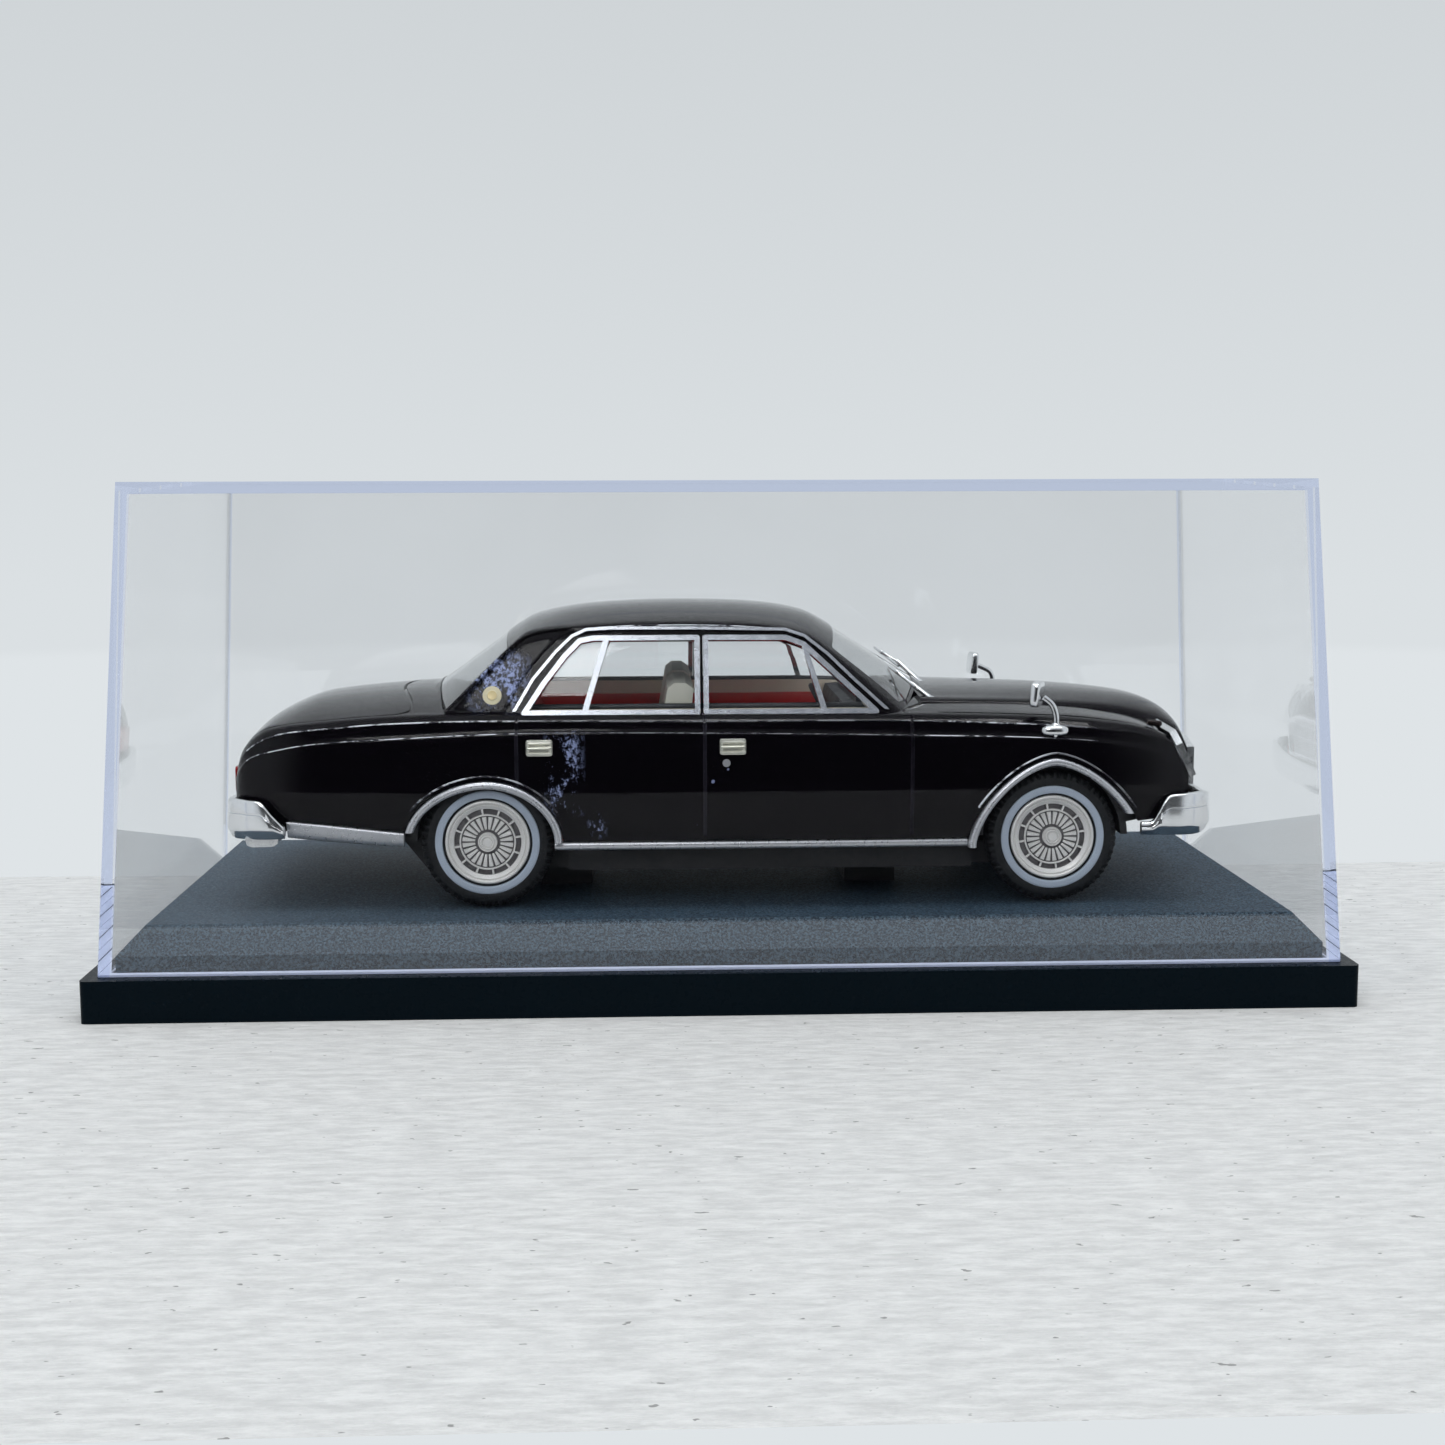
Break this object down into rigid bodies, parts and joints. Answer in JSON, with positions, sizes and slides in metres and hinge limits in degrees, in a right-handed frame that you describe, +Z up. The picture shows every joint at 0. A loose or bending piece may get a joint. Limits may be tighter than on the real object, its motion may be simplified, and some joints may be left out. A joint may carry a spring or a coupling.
{
  "type": "display case",
  "caption": "Clear lift-off cover on a dark bevelled base, holding a black 1:43 scale limousine with turning wheels, screwed to the plinth.",
  "frame": {"origin": "centre of the base's underside, on the surface that the case stands on", "axes": "+X along the case, the way the model's nose points; +Z up; the side shown in front faces -Y"},
  "size_m": [0.144, 0.065, 0.0598],
  "materials": {
    "base_plastic": "satin moulded, fine grain on the plinth",
    "clear_plastic": "clear, polished, tinted at its edges",
    "screw_steel": "plated",
    "black_plastic": "moulded",
    "silver_paint": "satin silver",
    "body_paint": "gloss black with a violet tone, scuffed",
    "window_plastic": "clear",
    "interior_red": "moulded, painted",
    "seat_cloth": "printed cream",
    "dash_grey": "moulded",
    "chrome": "vacuum plated",
    "lens_clear": "clear ribbed",
    "lens_amber": "amber",
    "lens_red": "red",
    "disc_cream": "plain cream with a gold middle",
    "rim_silver": "satin silver",
    "tyre_rubber": "soft black",
    "whitewall_paint": "pale blue-grey band"
  },
  "bodies": {
    "base": {"base": "base_plastic", "mounting_screws": "screw_steel", "chassis": "black_plastic", "exhaust": "silver_paint", "body_shell": "body_paint", "glazing": "window_plastic", "interior_tub": "interior_red", "front_seats": "interior_red", "rear_seat": "interior_red", "seat_covers": "seat_cloth", "dashboard": "dash_grey", "steering_wheel": "dash_grey", "grille": "chrome", "headlamp_bezels": "chrome", "headlamp_lenses": "lens_clear", "marker_lamps": "lens_amber", "front_bumper": "chrome", "rear_bumper": "chrome", "tail_lamps": "lens_red", "door_handles": "chrome", "door_locks": "chrome", "window_frames_right": "chrome", "window_frames_left": "chrome", "drip_rails": "chrome", "sill_trims": "silver_paint", "front_arch_trims": "silver_paint", "rear_arch_trims": "silver_paint", "rear_lower_trims": "silver_paint", "pillar_discs": "disc_cream", "fender_mirror_right": "chrome", "fender_mirror_left": "chrome", "wipers": "chrome"},
    "cover": {"cover": "clear_plastic"},
    "front_wheels": {"front_axle": "screw_steel", "rim_front_right": "rim_silver", "rim_front_left": "rim_silver", "tyre_front_right": "tyre_rubber", "tyre_front_left": "tyre_rubber", "whitewalls_front": "whitewall_paint"},
    "rear_wheels": {"rear_axle": "screw_steel", "rim_rear_right": "rim_silver", "rim_rear_left": "rim_silver", "tyre_rear_right": "tyre_rubber", "tyre_rear_left": "tyre_rubber", "whitewalls_rear": "whitewall_paint"}
  },
  "joints": [
    {"name": "cover_lift", "type": "slide", "parent": "base", "child": "cover", "axis": [0, 0, 1], "range_m": [0, 0.07]},
    {"name": "front_axle_spin", "type": "hinge", "parent": "base", "child": "front_wheels", "pos_m": [0.03898, 0, 0.01784], "axis": [0, 1, 0], "continuous": true},
    {"name": "rear_axle_spin", "type": "hinge", "parent": "base", "child": "rear_wheels", "pos_m": [-0.02752, 0, 0.01784], "axis": [0, 1, 0], "continuous": true}
  ]
}
